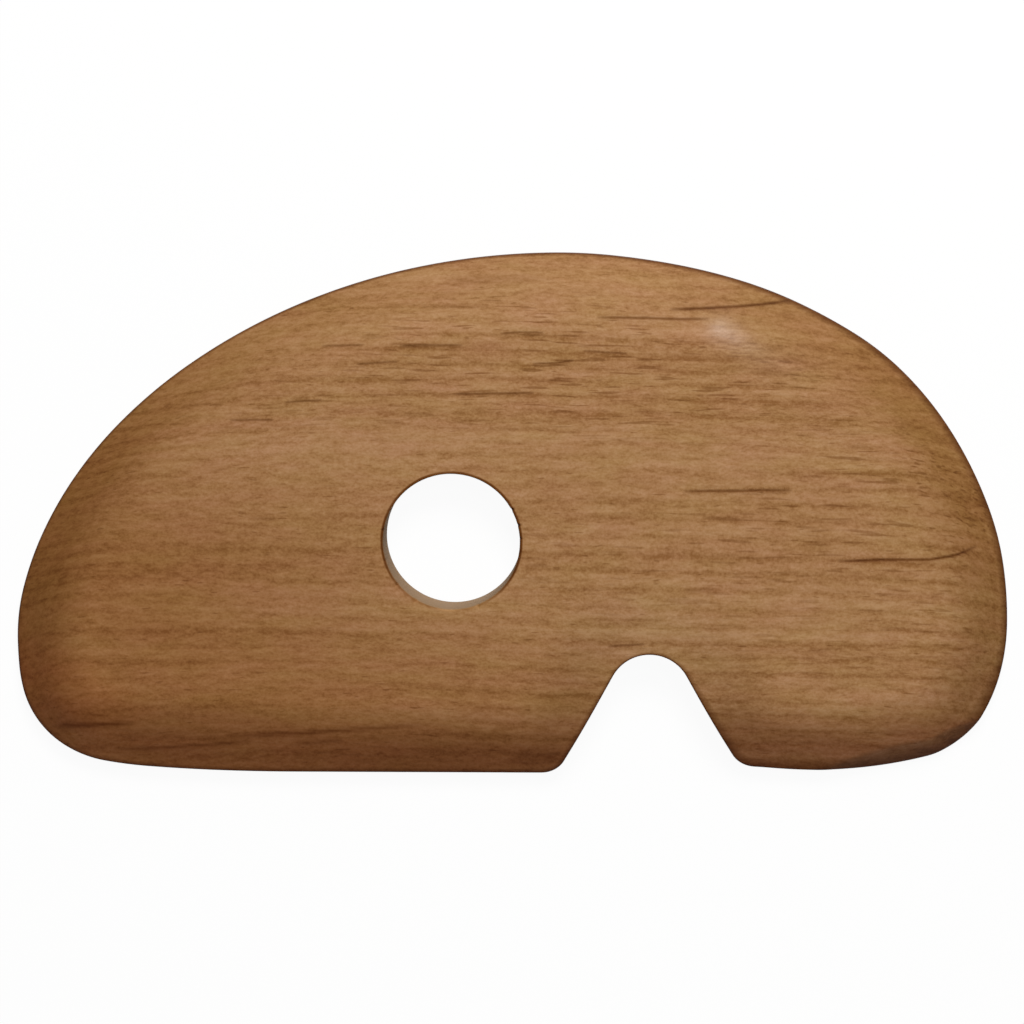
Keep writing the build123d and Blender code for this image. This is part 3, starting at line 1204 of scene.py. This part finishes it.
class StudioSettings(bpy.types.PropertyGroup):
    eye: place_property("Eye", "Place of the camera", (0.024548, 0.067260, 0.45))
    aim: place_property("Aim", "What the camera looks at", (0.000548, 0.000260, 0))
    roll: angle_property("Roll", "Turn of the camera about its axis", -0.45)
    lens: number_property("Lens", "Focal length in millimetres", 113.71)
    main_power: number_property("Main lamp", "Power in watts", 3.71)
    overhead_power: number_property("Overhead lamp", "Power in watts", 0.36)
    room_level: number_property("Room", "Level of the white room", 0.13)
    floor_colour: colour_property("Floor", "Colour of the floor", (0.95, 0.95, 0.95))
    floor_white: number_property("Floor white", "Share shown white", 0.95, 1.0)


class RIB_OT_cut_blade(bpy.types.Operator):
    """Cut the rib to its outline, bevel, notch and drill it, and oil it"""

    bl_idname = "rib.cut_blade"
    bl_label = "Cut the blade"

    def execute(self, context):
        piece = blade_piece(context.scene.rib_sizes)
        piece.data.materials.append(OiledWood(context.scene.rib_finish).owner)
        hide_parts(BLADE_NODE)
        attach(piece, "root")
        return {"FINISHED"}


class RIB_OT_set_stage(bpy.types.Operator):
    """Lay the pale floor, hang the soft lamps and place the camera"""

    bl_idname = "rib.set_stage"
    bl_label = "Set the stage"

    def execute(self, context):
        studio = context.scene.rib_studio
        half, nearest = 2.0, 0.01
        floor_mesh = bpy.data.meshes.new("floor")
        corners = [(-half, -half, 0), (half, -half, 0), (half, half, 0), (-half, half, 0)]
        floor_mesh.from_pydata(corners, [], [(0, 1, 2, 3)])
        floor_mesh.materials.append(pale_floor(studio.floor_colour, studio.floor_white))
        link("floor", floor_mesh, Matrix.Translation((0, 0, -0.05 * MM)))
        add_lamp("main_lamp", MAIN_LAMP, studio.main_power)
        add_lamp("overhead_lamp", OVERHEAD_LAMP, studio.overhead_power)
        light_world(studio.room_level)
        camera = bpy.data.cameras.new("camera")
        camera.lens = studio.lens
        camera.clip_start = nearest
        view = looking(Vector(studio.eye), Vector(studio.aim), studio.roll)
        context.scene.camera = link("camera", camera, view)
        context.scene.view_settings.view_transform = "Standard"
        return {"FINISHED"}


class RIB_PT_panel(bpy.types.Panel):
    bl_label = "Throwing rib"
    bl_idname = "RIB_PT_panel"
    bl_space_type = "VIEW_3D"
    bl_region_type = "UI"
    bl_category = "Throwing rib"

    def draw(self, context):
        layout = self.layout
        groups = [
            ("rib_sizes", RibSizes, RIB_OT_cut_blade),
            ("rib_finish", RibFinish, None),
            ("rib_studio", StudioSettings, RIB_OT_set_stage),
        ]
        for name, group, operator in groups:
            box = layout.box()
            for setting in group.__annotations__:
                box.prop(getattr(context.scene, name), setting)
            if operator:
                box.operator(operator.bl_idname)


CLASSES = (RibSizes, RibFinish, StudioSettings, RIB_OT_cut_blade, RIB_OT_set_stage, RIB_PT_panel)


def register():
    for each in CLASSES:
        bpy.utils.register_class(each)
    bpy.types.Scene.rib_sizes = PointerProperty(type=RibSizes)
    bpy.types.Scene.rib_finish = PointerProperty(type=RibFinish)
    bpy.types.Scene.rib_studio = PointerProperty(type=StudioSettings)


def unregister():
    for name in ("rib_sizes", "rib_finish", "rib_studio"):
        delattr(bpy.types.Scene, name)
    for each in reversed(CLASSES):
        bpy.utils.unregister_class(each)


def main():
    register()
    bpy.ops.rib.cut_blade()
    bpy.ops.rib.set_stage()


if __name__ == "__main__":
    main()
